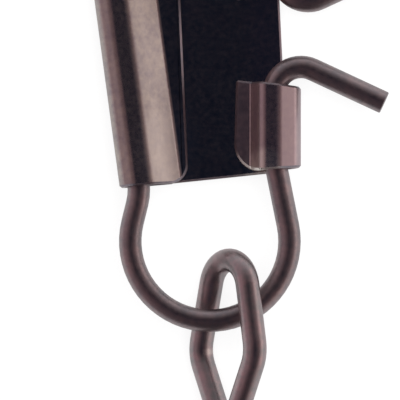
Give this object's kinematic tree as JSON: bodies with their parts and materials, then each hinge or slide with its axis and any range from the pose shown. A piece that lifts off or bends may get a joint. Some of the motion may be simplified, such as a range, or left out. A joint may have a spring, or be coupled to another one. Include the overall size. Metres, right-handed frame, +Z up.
{
  "type": "fishing snap swivel",
  "caption": "Sheet clasp folded over a hooked wire snap with an open lure loop, linked to a rolling swivel with wire eyes.",
  "frame": {"origin": "on the floor under the middle of the object as it lies at rest", "axes": "+Y towards the lure loop and -Y to the line eye, +X to the hooked side of the clasp, +Z up from the floor"},
  "size_m": [0.0144, 0.0478, 0.004],
  "materials": {
    "clasp": "glossy black nickel plate",
    "wire": "black nickel plate on drawn wire",
    "eye": "black nickel plate on drawn wire",
    "barrel": "glossy black nickel plate"
  },
  "bodies": {
    "snap": {"clasp_plate": "clasp", "snap_wire": "wire"},
    "near_eye": {"near_eye": "eye"},
    "barrel": {"barrel": "barrel"},
    "far_eye": {"far_eye": "eye"}
  },
  "joints": [
    {"name": "link_swing", "type": "hinge", "parent": "snap", "child": "near_eye", "pos_m": [-0.00024, -0.0031, 0.002], "axis": [0.9744, 0.2247, -0.0078], "range_deg": [-145, 145]},
    {"name": "near_spin", "type": "hinge", "parent": "near_eye", "child": "barrel", "pos_m": [-0.00022, -0.00808, 0.002], "axis": [0, -1, 0], "continuous": true},
    {"name": "far_spin", "type": "hinge", "parent": "barrel", "child": "far_eye", "pos_m": [-0.00022, -0.01588, 0.002], "axis": [0, -1, 0], "continuous": true}
  ]
}
